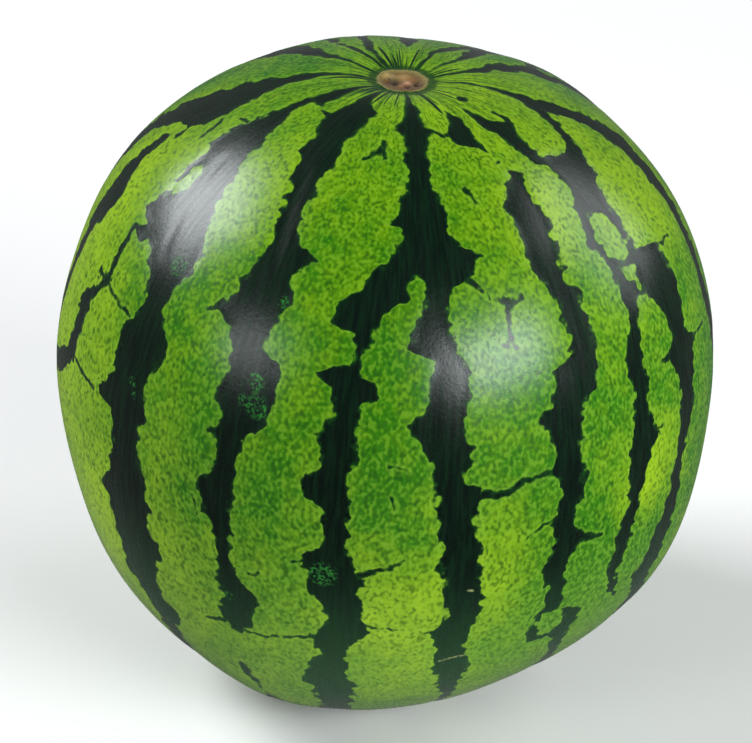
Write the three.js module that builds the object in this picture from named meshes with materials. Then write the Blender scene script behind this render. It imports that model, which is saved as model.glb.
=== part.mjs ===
// A whole round watermelon, standing on the small flat spot under its blossom end.
//
// Units are millimetres and +Z is up. The fruit rests on z = 0, with its bounding box
// centred on the Z axis. Its rind is one closed surface, worked out ring by ring from the
// stem end down to the blossom end. A point of it is given by two angles:
//   polar    0 at the stem end, pi at the blossom end
//   azimuth  counterclockwise seen from above, 0 towards +X

import * as THREE from 'three';

// ---- Driving dimensions: millimetres, and degrees where a name says so ----

const EQUATOR_RADIUS = 120; // half of the width across the middle
const POLE_RADIUS = 120.3; // half of the length from end to end
const SQUARENESS = 2.155; // 2 would be an ellipse, more gives blunter ends
const STEM_END_SPREAD = 0.013; // share by which the stem half is the wider one
const LEAN_DEGREES = 3.5; // the stem end leans towards +X as the fruit rests
const FLAT_SPOT_DEPTH = 2.6; // how far the lowest point is pressed flat

// Broad swells and flats of uneven growth. Each rises or sinks smoothly around one place.
const GROWTH_SWELLS = [
  { polarDegrees: 143, azimuthDegrees: -51, spreadDegrees: 26, rise: -2.3 }, // low, front right
  { polarDegrees: 143, azimuthDegrees: -129, spreadDegrees: 26, rise: 2.2 }, // low, front left
  { polarDegrees: 103, azimuthDegrees: -172, spreadDegrees: 30, rise: -2.9 }, // left flank
  { polarDegrees: 45, azimuthDegrees: 144, spreadDegrees: 26, rise: 0.8 }, // left shoulder
  { polarDegrees: 47, azimuthDegrees: 33, spreadDegrees: 26, rise: 0.6 }, // right shoulder
];

// The stem end sinks into a shallow dimple, with the corky scar of the stalk in its middle.
const DIMPLE_DEPTH = 4.5;
const DIMPLE_SPREAD = 16;
const SCAR_RADIUS = 8.8;
const SCAR_RIM_RISE = 0.6;
const SCAR_RIM_WIDTH = 1.1;
const SCAR_RIM_WAVES = 5; // the rim is higher in this many places around

// What the stalk left inside the rim: x and y from the stem end, rise above or below it.
const SCAR_LUMPS = [
  { x: -4.7, y: 3.4, spread: 2.5, rise: 1.3 }, // torn stub
  { x: 0.7, y: 4.4, spread: 1.8, rise: 0.6 }, // fibres behind the middle
  { x: 1.9, y: 0.2, spread: 1.3, rise: 0.8 }, // knob in the middle
  { x: -0.4, y: -1.7, spread: 1.1, rise: 0.5 }, // fibres in front of it
  { x: -2.9, y: 0.4, spread: 1.3, rise: -1.4 }, // deep pit
  { x: -5.8, y: 0.2, spread: 1.2, rise: -0.7 }, // groove that runs out of it
  { x: 5.2, y: 0.3, spread: 1.7, rise: -1.3 }, // wide pit
  { x: 1.7, y: -2.6, spread: 1.2, rise: -0.6 }, // small pit
];

// The blossom end is a shallow round recess in the flat spot, with a small corky button.
const BLOSSOM_RADIUS = 9;
const BLOSSOM_RECESS = 1.8;
const BUTTON_SPREAD = 2.6;
const BUTTON_RISE = 1.0;

// ---- Fineness of the surface ----

const LONGITUDES = 84;
const SCAR_RINGS = 11; // close together, from the stem end to just past the scar
const RIND_RINGS = 36; // from there to the flat spot, further apart on the way down
const RIND_RING_GROWTH = 1.3; // power that spaces them
const FLAT_RINGS = 2;
const BLOSSOM_RINGS = 4;
const SCAR_ZONE_RADIUS = SCAR_RADIUS + 1.8;

// ---- The fruit before it is set down ----

/** Unit vector at a polar angle and an azimuth, both in radians. */
function direction(polar, azimuth) {
  const sine = Math.sin(polar);
  return new THREE.Vector3(sine * Math.cos(azimuth), sine * Math.sin(azimuth), Math.cos(polar));
}

/** Share by which the swells lift the rind that faces `outward`. */
function growthSwell(outward) {
  let share = 0;
  for (const { polarDegrees, azimuthDegrees, spreadDegrees, rise } of GROWTH_SWELLS) {
    const middle = direction(
      THREE.MathUtils.degToRad(polarDegrees),
      THREE.MathUtils.degToRad(azimuthDegrees),
    );
    const spread = THREE.MathUtils.degToRad(spreadDegrees);
    share += (rise / EQUATOR_RADIUS) * Math.exp((outward.dot(middle) - 1) / spread ** 2);
  }
  return share;
}

/** Bell curve: 1 at distance 0, falling to 1/e at `spread`. */
function bell(distance, spread) {
  return Math.exp(-((distance / spread) ** 2));
}

/** Height of the stem end's dimple and scar, at `reach` mm along the rind from the stem end. */
function stemEndRelief(reach, azimuth) {
  const x = reach * Math.cos(azimuth);
  const y = reach * Math.sin(azimuth);
  const rimWave = 0.75 + 0.25 * Math.cos(SCAR_RIM_WAVES * azimuth + 1);
  let height = -DIMPLE_DEPTH * bell(reach, DIMPLE_SPREAD);
  height += SCAR_RIM_RISE * rimWave * bell(reach - SCAR_RADIUS, SCAR_RIM_WIDTH);
  for (const lump of SCAR_LUMPS) {
    height += lump.rise * bell(Math.hypot(x - lump.x, y - lump.y), lump.spread);
  }
  return height;
}

/** Point of the rind, around the middle of the fruit, leaning as it will rest. */
function rindPoint(polar, azimuth) {
  const across = Math.abs(Math.sin(polar)) / EQUATOR_RADIUS;
  const along = Math.abs(Math.cos(polar)) / POLE_RADIUS;
  const radius = (across ** SQUARENESS + along ** SQUARENESS) ** (-1 / SQUARENESS);
  const spread = 1 + STEM_END_SPREAD * Math.cos(polar);
  const point = direction(polar, azimuth).multiplyScalar(radius);
  point.multiply(new THREE.Vector3(spread, spread, 1));
  const outward = point.clone().normalize();
  point.multiplyScalar(1 + growthSwell(outward));
  point.addScaledVector(outward, stemEndRelief(EQUATOR_RADIUS * polar, azimuth));
  return point.applyAxisAngle(new THREE.Vector3(0, 1, 0), THREE.MathUtils.degToRad(LEAN_DEGREES));
}

// ---- Setting it down ----

const azimuths = Array.from({ length: LONGITUDES }, (_, i) => (2 * Math.PI * i) / LONGITUDES);

/** Height of the lowest point, searched over the bottom of the fruit. */
function lowestHeight() {
  const start = 0.85 * Math.PI;
  const steps = 60;
  let lowest = Infinity;
  for (let step = 0; step <= steps; step += 1) {
    const polar = start + ((Math.PI - start) * step) / steps;
    for (const azimuth of azimuths) {
      lowest = Math.min(lowest, rindPoint(polar, azimuth).z);
    }
  }
  return lowest;
}

const tableHeight = lowestHeight() + FLAT_SPOT_DEPTH;

/** Polar angle at which the rind meets the table, found by halving an interval. */
function polarAtTable(azimuth) {
  let above = Math.PI / 2;
  let below = Math.PI;
  for (let step = 0; step < 40; step += 1) {
    const middle = (above + below) / 2;
    if (rindPoint(middle, azimuth).z > tableHeight) above = middle;
    else below = middle;
  }
  return below;
}

// ---- Rings of points, from the stem end to the blossom end ----

const tablePolars = azimuths.map(polarAtTable);
const scarZonePolar = SCAR_ZONE_RADIUS / EQUATOR_RADIUS;
const blossomCentre = rindPoint(Math.PI, 0);

/** Edge of the flat spot at longitude number i. */
function flatSpotEdge(i) {
  return rindPoint(tablePolars[i], azimuths[i]).setZ(tableHeight);
}

/** Point of the blossom end at `share` of its radius, in its recess above the table. */
function blossomPoint(share, azimuth) {
  const reach = share * BLOSSOM_RADIUS;
  const recess = BLOSSOM_RECESS * (1 - share ** 2) ** 2;
  const button = BUTTON_RISE * bell(reach, BUTTON_SPREAD) * (1 - share ** 2);
  return new THREE.Vector3(
    blossomCentre.x + reach * Math.cos(azimuth),
    blossomCentre.y + reach * Math.sin(azimuth),
    tableHeight + recess - button,
  );
}

const rings = [];

for (let ring = 1; ring <= SCAR_RINGS; ring += 1) {
  const polar = (scarZonePolar * ring) / SCAR_RINGS;
  rings.push(azimuths.map((azimuth) => rindPoint(polar, azimuth)));
}

for (let ring = 1; ring < RIND_RINGS; ring += 1) {
  const share = (ring / RIND_RINGS) ** RIND_RING_GROWTH;
  rings.push(azimuths.map((azimuth, i) => {
    const polar = THREE.MathUtils.lerp(scarZonePolar, tablePolars[i], share);
    return rindPoint(polar, azimuth);
  }));
}

for (let ring = 0; ring < FLAT_RINGS; ring += 1) {
  const share = ring / FLAT_RINGS;
  rings.push(azimuths.map((azimuth, i) => flatSpotEdge(i).lerp(blossomPoint(1, azimuth), share)));
}

for (let ring = 0; ring < BLOSSOM_RINGS; ring += 1) {
  const share = 1 - ring / BLOSSOM_RINGS;
  rings.push(azimuths.map((azimuth) => blossomPoint(share, azimuth)));
}

// ---- One closed mesh through the rings, with a point at each end ----

/** Closed mesh: a fan at each end and two triangles between each four neighbours. */
function closedSurface(top, ringList, bottom) {
  const count = ringList[0].length;
  const points = [top, ...ringList.flat(), bottom];
  const last = points.length - 1;
  const at = (ring, i) => 1 + ring * count + (i % count);
  const triangles = [];
  for (let i = 0; i < count; i += 1) {
    triangles.push(0, at(0, i), at(0, i + 1));
    triangles.push(last, at(ringList.length - 1, i + 1), at(ringList.length - 1, i));
  }
  for (let ring = 0; ring + 1 < ringList.length; ring += 1) {
    for (let i = 0; i < count; i += 1) {
      triangles.push(at(ring, i), at(ring + 1, i), at(ring + 1, i + 1));
      triangles.push(at(ring, i), at(ring + 1, i + 1), at(ring, i + 1));
    }
  }
  const geometry = new THREE.BufferGeometry().setFromPoints(points);
  geometry.setIndex(triangles);
  return geometry;
}

const fruit = closedSurface(rindPoint(0, 0), rings, blossomPoint(0, 0));
fruit.computeBoundingBox();
const boxMiddle = fruit.boundingBox.getCenter(new THREE.Vector3());
fruit.translate(-boxMiddle.x, -boxMiddle.y, -tableHeight);
fruit.computeVertexNormals();

const rind = new THREE.MeshStandardMaterial({ color: 0x4f7d1c, roughness: 0.42, metalness: 0 });

const watermelon = new THREE.Mesh(fruit, rind);
watermelon.name = 'watermelon';

const part = new THREE.Group();
part.add(watermelon);

export default part;
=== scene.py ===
"""Looks of the whole round watermelon: its rind, stripes, net marks and stem scar, on a pale floor.

The rind is one closed surface over the same body as the part's solid, only finer. A point of
it is given by two angles: the polar angle, 0 at the stem end and 180 degrees at the blossom
end, and the bearing, 0 towards the front (-Y) and 90 degrees towards +X. Its azimuth is the
bearing less 90 degrees. Lengths are in millimetres until a mesh, a lamp or the camera is made,
which take metres.
"""

import math

import bpy
import numpy as np
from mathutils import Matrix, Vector


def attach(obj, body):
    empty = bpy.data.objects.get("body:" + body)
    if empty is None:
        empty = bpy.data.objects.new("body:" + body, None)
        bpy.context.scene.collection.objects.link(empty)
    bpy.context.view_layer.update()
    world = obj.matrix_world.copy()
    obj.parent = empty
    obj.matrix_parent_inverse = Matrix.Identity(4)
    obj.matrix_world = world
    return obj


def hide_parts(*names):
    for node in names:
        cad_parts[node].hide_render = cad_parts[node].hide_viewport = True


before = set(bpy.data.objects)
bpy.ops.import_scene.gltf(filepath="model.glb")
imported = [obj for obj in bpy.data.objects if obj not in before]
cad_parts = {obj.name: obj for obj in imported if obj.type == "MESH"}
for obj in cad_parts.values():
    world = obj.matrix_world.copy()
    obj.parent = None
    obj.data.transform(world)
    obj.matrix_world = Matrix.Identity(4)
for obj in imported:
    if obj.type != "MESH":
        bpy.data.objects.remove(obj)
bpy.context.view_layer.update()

MM = 0.001

# ---- The body of the fruit: the same values as the solid has ----

EQUATOR_RADIUS = 120.0
POLE_RADIUS = 120.3
SQUARENESS = 2.155
STEM_END_SPREAD = 0.013
LEAN_DEGREES = 3.5
FLAT_SPOT_DEPTH = 2.6

# Broad swells of growth: polar and azimuth of the middle, spread in degrees, rise in mm.
GROWTH_SWELLS = (
    (143, -51, 26, -2.3), (143, -129, 26, 2.2), (103, -172, 30, -2.9), (45, 144, 26, 0.8),
    (47, 33, 26, 0.6),
)

# Lesser swells in the same form, which the solid leaves out.
LESSER_SWELLS = (
    (115, -22, 12, 1.4), (137, -53, 8, -1.3), (142, -113, 8, 1.4), (136, -134, 8, -1.3),
    (124, -152, 10, -0.7), (110, -166, 9, -1.3), (86, -175, 8, 1.3), (68, 174, 8, -1.0),
    (56, 164, 8, 0.4), (37, 142, 8, -0.5), (28, 74, 9, -0.7), (36, 36, 9, 1.1),
)

DIMPLE_DEPTH = 4.5
DIMPLE_SPREAD = 16.0
SCAR_RADIUS = 8.8
SCAR_RIM_RISE = 0.6
SCAR_RIM_WIDTH = 1.1
SCAR_RIM_WAVES = 5
SCAR_RIM_DIP = 0.25
SCAR_RIM_TURN = 1.0

# What the stalk left inside the rim: x, y, spread and rise.
SCAR_LUMPS = (
    (-4.7, 3.4, 2.5, 1.3), (0.7, 4.4, 1.8, 0.6), (1.9, 0.2, 1.3, 0.8), (-0.4, -1.7, 1.1, 0.5),
    (-2.9, 0.4, 1.3, -1.4), (-5.8, 0.2, 1.2, -0.7), (5.2, 0.3, 1.7, -1.3), (1.7, -2.6, 1.2, -0.6),
)

BLOSSOM_RADIUS = 9.0
BLOSSOM_RECESS = 1.8
BUTTON_SPREAD = 2.6
BUTTON_RISE = 1.0

MM_PER_DEGREE = math.radians(EQUATOR_RADIUS)  # of arc

# ---- Fineness of the surface ----

LONGITUDES = 440
SCAR_RINGS = 40
SCAR_ZONE_RADIUS = 12.5
RIND_RINGS = 168
FLAT_RINGS = 4
BLOSSOM_RINGS = 8
POLE_GAP = 1e-4  # radians from a pole to the place that an end point stands for

# ---- Stripes: rows of polar, left bearing and right bearing, in degrees ----

STRIPES = {
    "far_left": [
        (5, -95, -91), (12, -95, -88), (20, -95, -85), (25, -97, -81), (30, -98, -79), (33, -99, -80),
        (36, -101, -82.5), (38.5, -102, -91), (45, -106, -98), (60, -110, -101), (75, -108, -100),
        (88, -112, -103), (101, -109, -104), (112, -107.5, -106)],
    "far_left_tongue": [(31, -84, -80), (35, -85.5, -82), (39, -83.5, -83)],
    "far_left_low": [
        (41, -90, -87), (45, -90.5, -86), (50, -90.5, -83), (53, -90.5, -79), (57, -90.5, -82),
        (62, -89.5, -84), (70, -90, -85.5), (80, -92, -86), (95, -93, -84), (110, -95, -86),
        (130, -97, -88), (150, -98, -84), (166, -99, -88), (173, -96, -92)],
    "left_link": [
        (65.5, -69.5, -68.2), (67.5, -73.2, -68.4), (74, -73.2, -69), (79, -74.5, -69.3),
        (81.5, -78, -72), (84.5, -83.5, -75), (88, -85, -81)],
    "left": [
        (5, -59.5, -56), (10, -61, -54), (12.5, -62.5, -51), (16.5, -64, -52), (17.8, -64.5, -40),
        (19, -65, -60), (22, -65.5, -59.3), (24.5, -66, -55.5), (27.5, -68, -54), (30, -68.7, -53.5),
        (34, -68.5, -52), (37, -66.5, -50), (41, -65.5, -49.3), (45, -65.5, -47), (48.5, -68.5, -44.5),
        (50.5, -63.5, -44.2), (52.5, -67.5, -44.5), (54.5, -57, -46), (58, -54, -47), (60, -53.2, -47.2),
        (62.5, -53.2, -45.5), (65, -55, -43.2), (68, -55, -44.2), (74, -55.4, -45.8), (77, -57.3, -45.7),
        (79.3, -60, -44.5), (80.3, -54, -46), (84, -52.5, -45.8), (88, -52.5, -44.8), (91, -53.5, -43),
        (94.5, -54.5, -42.5), (96.2, -56, -42.3), (98, -53, -42.8), (103, -52, -40), (107, -52, -42),
        (111, -51.6, -42.2), (114, -50, -42), (116, -48.5, -38), (120, -46.5, -40.7), (125, -47.6, -42),
        (131, -49, -43), (145, -51, -44), (160, -54, -42), (172, -50, -44)],
    "left_middle": [
        (5, -39, -32), (10, -39, -29), (13, -40, -22), (14.2, -40.5, -12.5), (15.2, -41, -20.5),
        (17.8, -42, -20), (20, -42, -23), (22.7, -38.3, -24), (25, -39.6, -22.6), (27, -36.8, -23),
        (30, -35.4, -25), (33.5, -33, -25), (39, -31, -25.3), (42.5, -30.5, -23), (44.8, -30.8, -18.5),
        (47, -31, -21.7), (50, -32.5, -22), (52.5, -33.2, -20.5), (54, -33.8, -23), (56.5, -36.5, -24),
        (57.5, -31.5, -24.2), (60, -30.2, -24.2), (62, -30, -20.6), (66, -30, -20), (69, -30.6, -19.8),
        (72.5, -29.6, -21.5), (75, -30.5, -24.5), (78, -29.3, -24.6), (81.5, -29.7, -25.1),
        (84.4, -32, -25.5), (88, -31.2, -25.8), (92, -29.3, -25.6), (96, -28.2, -25.3), (100, -28.2, -25),
        (103.5, -27.8, -22), (106, -27.4, -19.8), (108.5, -27, -23), (111.5, -28, -22.5),
        (114, -25.2, -24.4)],
    "left_middle_low": [
        (123, -27.5, -26.5), (126, -28, -25), (130, -27, -24.6), (133, -25.5, -25), (136, -25.5, -24.5),
        (142, -27, -20), (150, -28, -18), (162, -28, -16), (170, -24, -18)],
    "middle": [
        (5, 2.5, 9), (10, 1.2, 9.6), (12.3, 0.6, 14), (14, 0.3, 12), (16.5, -3.6, 13), (17.6, -2.5, 17),
        (19, 0, 12.5), (22, 1.2, 10.5), (28, 1.4, 10.2), (33, 1.4, 12), (34.8, 0, 12.4),
        (36.2, -3.4, 12.7), (37.5, 0.4, 13.2), (40.3, 0, 13.4), (41.6, -0.6, 19.5), (43.5, -2.2, 18),
        (45, -6, 16.5), (46.7, -6.7, 12), (49, -9, 11.4), (50.7, -12.4, 10.4), (53.8, -12, 10.2),
        (54.6, -8.4, 10.7), (56.5, -7.3, 11.6), (58.4, -7.6, 12.9), (60, -8.7, 14), (61.6, -13.8, 13.9),
        (63.4, -10.6, 13.6), (66.5, -9.8, 13.1), (69.5, -10, 12.9), (72.5, -12, 13.7), (75, -11.3, 14.2),
        (77.2, -11.7, 12.4), (78.5, -12.6, 13.4), (79.4, -13.6, 15), (81, -14.6, 16.4), (82.6, -12, 15.5),
        (84.4, -10, 14.8), (88, -9.8, 15.8), (91, -10.3, 16.7), (93.6, -13.6, 16.5), (95.7, -12, 16.1),
        (98.8, -12, 16.9), (101.5, -10.5, 17.8), (105, -8.7, 17.8), (107, -8.2, 16.8),
        (109.8, -11.2, 16.6), (112.5, -10.9, 16.3), (115.5, -9.7, 17.8), (118.7, -11.6, 18.6),
        (122, -12.4, 18.6), (130, -11.6, 19.2), (140, -11.4, 21), (150, -13, 23), (162, -14, 24),
        (172, -2, 14)],
    "right_middle": [
        (5, 29.5, 32.5), (13, 30, 32), (14.5, 30.3, 33.5), (16.1, 29, 37), (18, 22.3, 36.3),
        (19.5, 21.4, 35), (20.6, 24, 34.8), (21.8, 24.5, 33.8), (22.5, 32.8, 34.4), (25, 34.8, 36),
        (28, 36.3, 37.7), (29.5, 36.3, 41.8), (31, 34, 40.3), (33, 31.5, 39.9), (35.5, 28.6, 39.9),
        (37.5, 30.7, 40.2), (41.7, 30.7, 38.7), (45.2, 29.9, 38), (48.2, 32.2, 37.5), (51.5, 34.4, 39.4),
        (55, 33.8, 39.9), (57.5, 34.7, 39.9), (60.3, 34, 39.6), (62, 30.4, 39), (66, 29.2, 38.4),
        (68, 28, 35.7), (69.6, 25.2, 34.9), (71.5, 27.5, 34.3), (75, 29.4, 33.9), (77.5, 28.6, 34.3),
        (79.5, 29.3, 34.5), (83, 30.2, 34.4), (87, 29, 33.8), (90, 29.9, 33.9), (92.5, 29.6, 36),
        (94.6, 29.2, 34.3), (96.9, 28, 33.8), (98.8, 28.9, 33), (102, 29.9, 33.4), (105.3, 30.3, 33.7),
        (107.5, 29.3, 34.3), (110, 28.8, 39.9), (113.7, 28.5, 39.6), (115.2, 29.3, 39.6),
        (116.5, 36.5, 40), (120, 38, 40), (125, 39.3, 42), (132, 41, 47), (145, 42, 50), (160, 40, 52),
        (171, 42, 48)],
    "right_inner": [
        (13.5, 44.5, 46), (16, 43.8, 47.8), (18, 43.5, 50), (19.6, 43, 56.8), (21.2, 46.5, 59.5),
        (22.8, 47.5, 55), (26, 47.6, 53.7), (29, 49, 55), (30.4, 52, 72), (33.3, 53.6, 70),
        (35.8, 53.2, 68.5), (38, 51.5, 64), (40.5, 50, 62.6), (43.5, 49.2, 62), (45.2, 47.2, 61.2),
        (47, 49.6, 61.4), (49.5, 50.2, 62), (51, 50.2, 69), (54.5, 50.4, 69.3), (57.5, 50.2, 69.2),
        (60, 49.1, 68), (62.2, 47.5, 67.4), (64.1, 46.4, 66.7), (66.4, 46.8, 67.4), (68.3, 47.3, 69.5),
        (70, 47.1, 68.4), (73.3, 46.4, 66.7), (77.5, 45.2, 66), (80, 44.9, 64.6), (83.3, 44.8, 63.2),
        (87, 45.4, 62.2), (90, 45.6, 62.2), (92.5, 44.4, 62.6), (95.5, 43.7, 62), (98.5, 44.3, 62.2),
        (102.6, 43.5, 61.3), (105.3, 44.1, 60.6), (107.5, 45.2, 60.5), (110.5, 47.8, 59.8),
        (113, 55.4, 60.8), (120, 57, 64), (132, 60, 70), (145, 62, 73), (160, 60, 76), (172, 64, 72)],
    "right": [
        (5, 85.5, 88), (14, 84.5, 88.5), (18, 82.5, 89), (22, 81, 90), (25, 83.5, 92), (30, 87.5, 95.5),
        (35, 89, 98), (40, 89.5, 98), (50, 87.5, 94), (60, 84, 89), (66, 81, 86.5), (75, 82, 88.5),
        (88, 84, 93), (100, 82, 90), (115, 80, 89), (130, 83, 94), (150, 86, 99), (162, 84, 98),
        (172, 89, 95)],
    "right_arm": [
        (20.5, 80.5, 86), (23, 77, 84), (25.5, 74, 81), (28.5, 70.5, 76.5), (31, 66, 73), (33, 62, 70)],
    "right_top_spot": [(10.6, 54, 57), (11.6, 50.3, 60), (12.6, 54, 58)],
    "right_top_notch": [(17.4, 58.4, 59.4), (20.5, 57, 60.4)],
}

# Light places inside the dark ones, in the same form.
ISLANDS = {
    "finger": [
        (45.5, 3.4, 4), (46.5, 2.8, 5.6), (49.5, 2.6, 6), (50.5, -1.8, 4.6), (53, -3.6, 3.7),
        (55.6, -4.3, 3.4), (56.4, -4.8, 0.4), (57.3, -5.5, 4.4), (58.2, -6, 7.1), (60, -6.4, 7.5),
        (61.5, -5.2, 6.4), (62.2, -3, 6.2), (64.5, -2.8, 6), (65.8, -4.8, 5.5), (68, -5.1, 4.4),
        (69.7, -5.3, 3.3), (71.5, -5.4, 5), (74, -5.7, 6.7), (77.5, -6.3, 7.7), (80, -5.9, 8.4),
        (82.5, -5.4, 8.6), (85.2, -6.1, 8.8), (87.5, -5, 9.1), (90, -5.7, 9.6), (92.1, -5.4, 10),
        (94.4, -4, 10.3), (97.5, -2.8, 10.8), (100, -3.4, 11.1), (102.6, -2.2, 11.6), (104.8, -3.4, 11.7),
        (106.5, -1.5, 11), (108.2, -0.6, 9), (109.5, -2.6, 10.4), (113, -5.3, 11.3), (115.3, -4.8, 10.4),
        (117.6, -4.5, 11.3), (120, -4.8, 11.9), (123, -3.9, 13.5), (124.4, -2.4, 14.1), (126.4, -3, 14.8),
        (130, -3.6, 15.8), (135, -3.6, 17), (145, -4.5, 18), (155, -4, 16), (162, 0, 9)],
    "left_upper": [
        (17, -60, -53), (18, -60, -46), (19.5, -59.8, -42.5), (22, -59, -39), (25, -55, -40),
        (27, -54, -37)],
    "left_pale": [(37.5, -63, -61), (39, -65, -60), (42, -65.6, -60.2), (44, -64, -62)],
    "link_block": [
        (53, -60.5, -58.6), (55, -64.4, -57), (58, -65.1, -54.9), (61, -64.8, -53.4), (63.2, -61, -54),
        (64, -57, -55.5)],
    "right_pair": [
        (56.5, 53.6, 57.5), (58.2, 52.8, 59.3), (60, 52.4, 60.3), (62.5, 51.4, 61.2), (65.5, 51.3, 60.7),
        (67.5, 51.3, 58), (68.8, 51.3, 57.6), (70.5, 51, 59.5), (74, 50.5, 60.4), (77.2, 50.9, 60.4),
        (78.3, 53.4, 60.4), (79.8, 52, 60.2), (81.5, 50.2, 60), (85, 49.2, 59.1), (90, 48.6, 58),
        (93, 47.4, 58.1), (97, 47.9, 57), (100, 46.5, 55.2), (105.3, 46.4, 54), (107.6, 48, 52.4),
        (110.5, 49, 54.2), (113.5, 48, 55.5)],
    "right_cell": [(40.9, 53, 56.5), (42, 51.6, 58), (45.5, 51.2, 58.8), (48, 51.8, 59), (49.8, 54, 59)],
    "right_cell_low": [(50.6, 54, 58.5), (52.5, 54.2, 58.3), (54.7, 56.4, 57)],
    "right_round": [(22.5, 55, 60), (25, 54.4, 71), (27.5, 56, 70.8), (29.4, 60, 66)],
    "ring": [(108.2, 31.5, 34.5), (110, 30.4, 36), (112.5, 30.6, 36.2), (114.4, 32.5, 34.5)],
}

# Stripes of the back: rows of polar, bearing of the middle and width in mm. Their sides are
# drawn ragged by grown_stripe.
BACK_STRIPES = (
    ((5, -120, 0.8), (12, -122, 2.5), (20, -130, 7), (34, -133, 15), (60, -131, 13),
     (90, -134, 17), (120, -130, 12), (150, -134, 9), (172, -130, 3)),
    ((6, -144, 0.6), (12, -144.5, 1.6), (20, -147, 2.4), (30, -155, 4)),
    ((5, -154, 0.8), (12, -155, 1.8), (20, -161, 3), (38, -163, 12), (66, -159, 17),
     (98, -163, 12), (128, -158, 14), (172, -165, 3)),
    ((13, 177, 1.5), (18, 177, 5), (40, 173, 9), (66, 177, 13), (92, 171, 9), (116, 175, 3)),
    ((5, 153, 0.6), (12, 154, 2.2), (22, 151, 4), (36, 146, 5)),
    ((5, 131, 0.8), (12, 132.5, 1.6), (16, 136, 3), (20, 141, 5), (44, 145, 14),
     (80, 142, 17), (112, 147, 11), (140, 152, 13), (172, 148, 3)),
    ((5, 110, 0.8), (12, 111, 2), (16, 116, 5), (21, 121, 9), (30, 124, 13), (52, 119, 12),
     (82, 116, 9), (110, 120, 12), (140, 115, 10), (172, 118, 3)),
    ((102, 173, 3), (112, 178, 6), (135, -179, 9), (172, 172, 3)),
)

# Light places inside them.
BACK_ISLANDS = (
    ((38, -132, 2), (46, -134, 6), (58, -131, 2)),
    ((84, -136, 2), (95, -133, 7), (104, -132, 2)),
    ((58, -160, 2), (68, -158, 7), (80, -160, 3)),
    ((56, 176, 2), (64, 178, 5), (72, 175, 2)),
    ((60, 145, 2), (74, 142, 8), (92, 142, 3)),
    ((28, 125, 2), (35, 123, 5), (46, 121, 2)),
)

# Thin dark cracks: (polar, bearing) of each bend, half width in mm at the start and the end.
CRACKS = [
    ([(52.6, -66.7), (58, -66.2), (61.8, -65.6), (66.4, -68.6)], 1.5, 1.9),
    ([(62.4, -69.6), (62.6, -65.6), (63.3, -62), (63.8, -58.5), (64.2, -54.9)], 1.2, 0.8),
    ([(78.7, -69.5), (79.4, -65), (79.7, -60)], 0.9, 1.1), ([(28, -71.5), (27.6, -68)], 0.6, 1),
    ([(35.5, -74.6), (33, -74.8), (31, -77)], 0.8, 1.2), ([(55, -35), (56.8, -37.5)], 1.6, 0.8),
    ([(111.8, -28), (113, -32)], 1.4, 0.5),
    ([(112.6, -23.5), (113.2, -20), (112.2, -18), (111.8, -15), (110.6, -11)], 0.8, 0.8),
    ([(93.6, -12), (95, -14.8)], 1, 0.5),
    ([(95.9, -3.4), (94.4, 0), (93.6, 2.2), (92, 3.7)], 1.5, 0.5),
    ([(106.9, -1.4), (107.2, 3.4)], 0.9, 0.4), ([(108.6, 10.5), (107.8, 7.8)], 0.9, 0.4),
    ([(80.6, 15.8), (80.9, 20.5), (79, 23), (78.6, 29)], 1.8, 0.9),
    ([(87, 29.6), (88, 27.4), (89.8, 24.4)], 1.1, 0.4), ([(17.5, 15), (19, 20), (19, 22)], 1, 1),
    ([(92.3, 34.5), (93.6, 39.4)], 2.2, 1.2), ([(52, 69.3), (52.4, 76)], 0.7, 0.7),
    ([(68.6, 68.5), (69, 76)], 0.8, 0.8), ([(77.6, 51.2), (78.3, 53.6)], 1.4, 0.7),
    ([(68, 59.5), (67.8, 56.2)], 1.6, 0.8), ([(20.4, -8.6), (21.8, -8.2), (23.8, -6.8)], 1.3, 1),
    ([(22.4, -9.4), (24.6, -14.2)], 1.2, 0.8), ([(37.5, 7), (34.5, 3.4), (31.4, 0.6)], 1.5, 0.6),
    ([(30.6, 20.2), (33.2, 22)], 1.3, 0.5), ([(49.4, 21.4), (50.4, 23.2), (49.6, 26)], 1.1, 1.1),
    ([(50.4, 23), (52.8, 22.8), (56.2, 22.2)], 1.4, 0.8), ([(56.8, 20.8), (57.6, 23.2)], 0.9, 0.6),
    ([(45.4, 14.4), (46.8, 16.4), (48, 18)], 1.5, 0.6), ([(75.4, 0.4), (76, 3.6)], 0.7, 0.4),
    ([(81, 1), (83, 1.8)], 0.7, 0.3), ([(98.8, -20.3), (99.4, -22)], 0.8, 0.5),
    ([(87.5, -33), (91, -32)], 0.7, 0.5),
]

# Cracks of the back, which run from stripe to stripe or end in the light rind.
BACK_CRACKS = [
    ([(52, -124), (53, -118), (56, -113), (57, -109)], 1.2, 0.5),
    ([(76, -139), (77.5, -145), (80, -150)], 1.4, 0.5),
    ([(104, -124), (105, -118), (108, -112)], 1.3, 0.5),
    ([(30, 168), (32, 161), (31, 152)], 0.8, 1), ([(72, 171), (73, 165), (76, 158)], 1.4, 0.5),
    ([(97, 137), (99, 131), (98.5, 126)], 1.4, 0.8), ([(62, 112), (65, 107), (66, 101)], 1.2, 0.5),
    ([(90, 111), (91, 104), (94, 99)], 0.9, 1.2), ([(122, 152), (123, 159), (126, 165)], 1.1, 0.5),
    ([(125, -137), (127, -144), (131, -149)], 1.1, 0.5),
    ([(128, 110), (130, 104), (133, 98)], 1, 0.5), ([(118, 84), (119, 77), (122, 72)], 1, 0.5),
    ([(74, 88), (76, 94), (79, 98)], 1, 0.4), ([(134, -85), (135, -76), (138, -68)], 1, 0.5),
]

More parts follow.
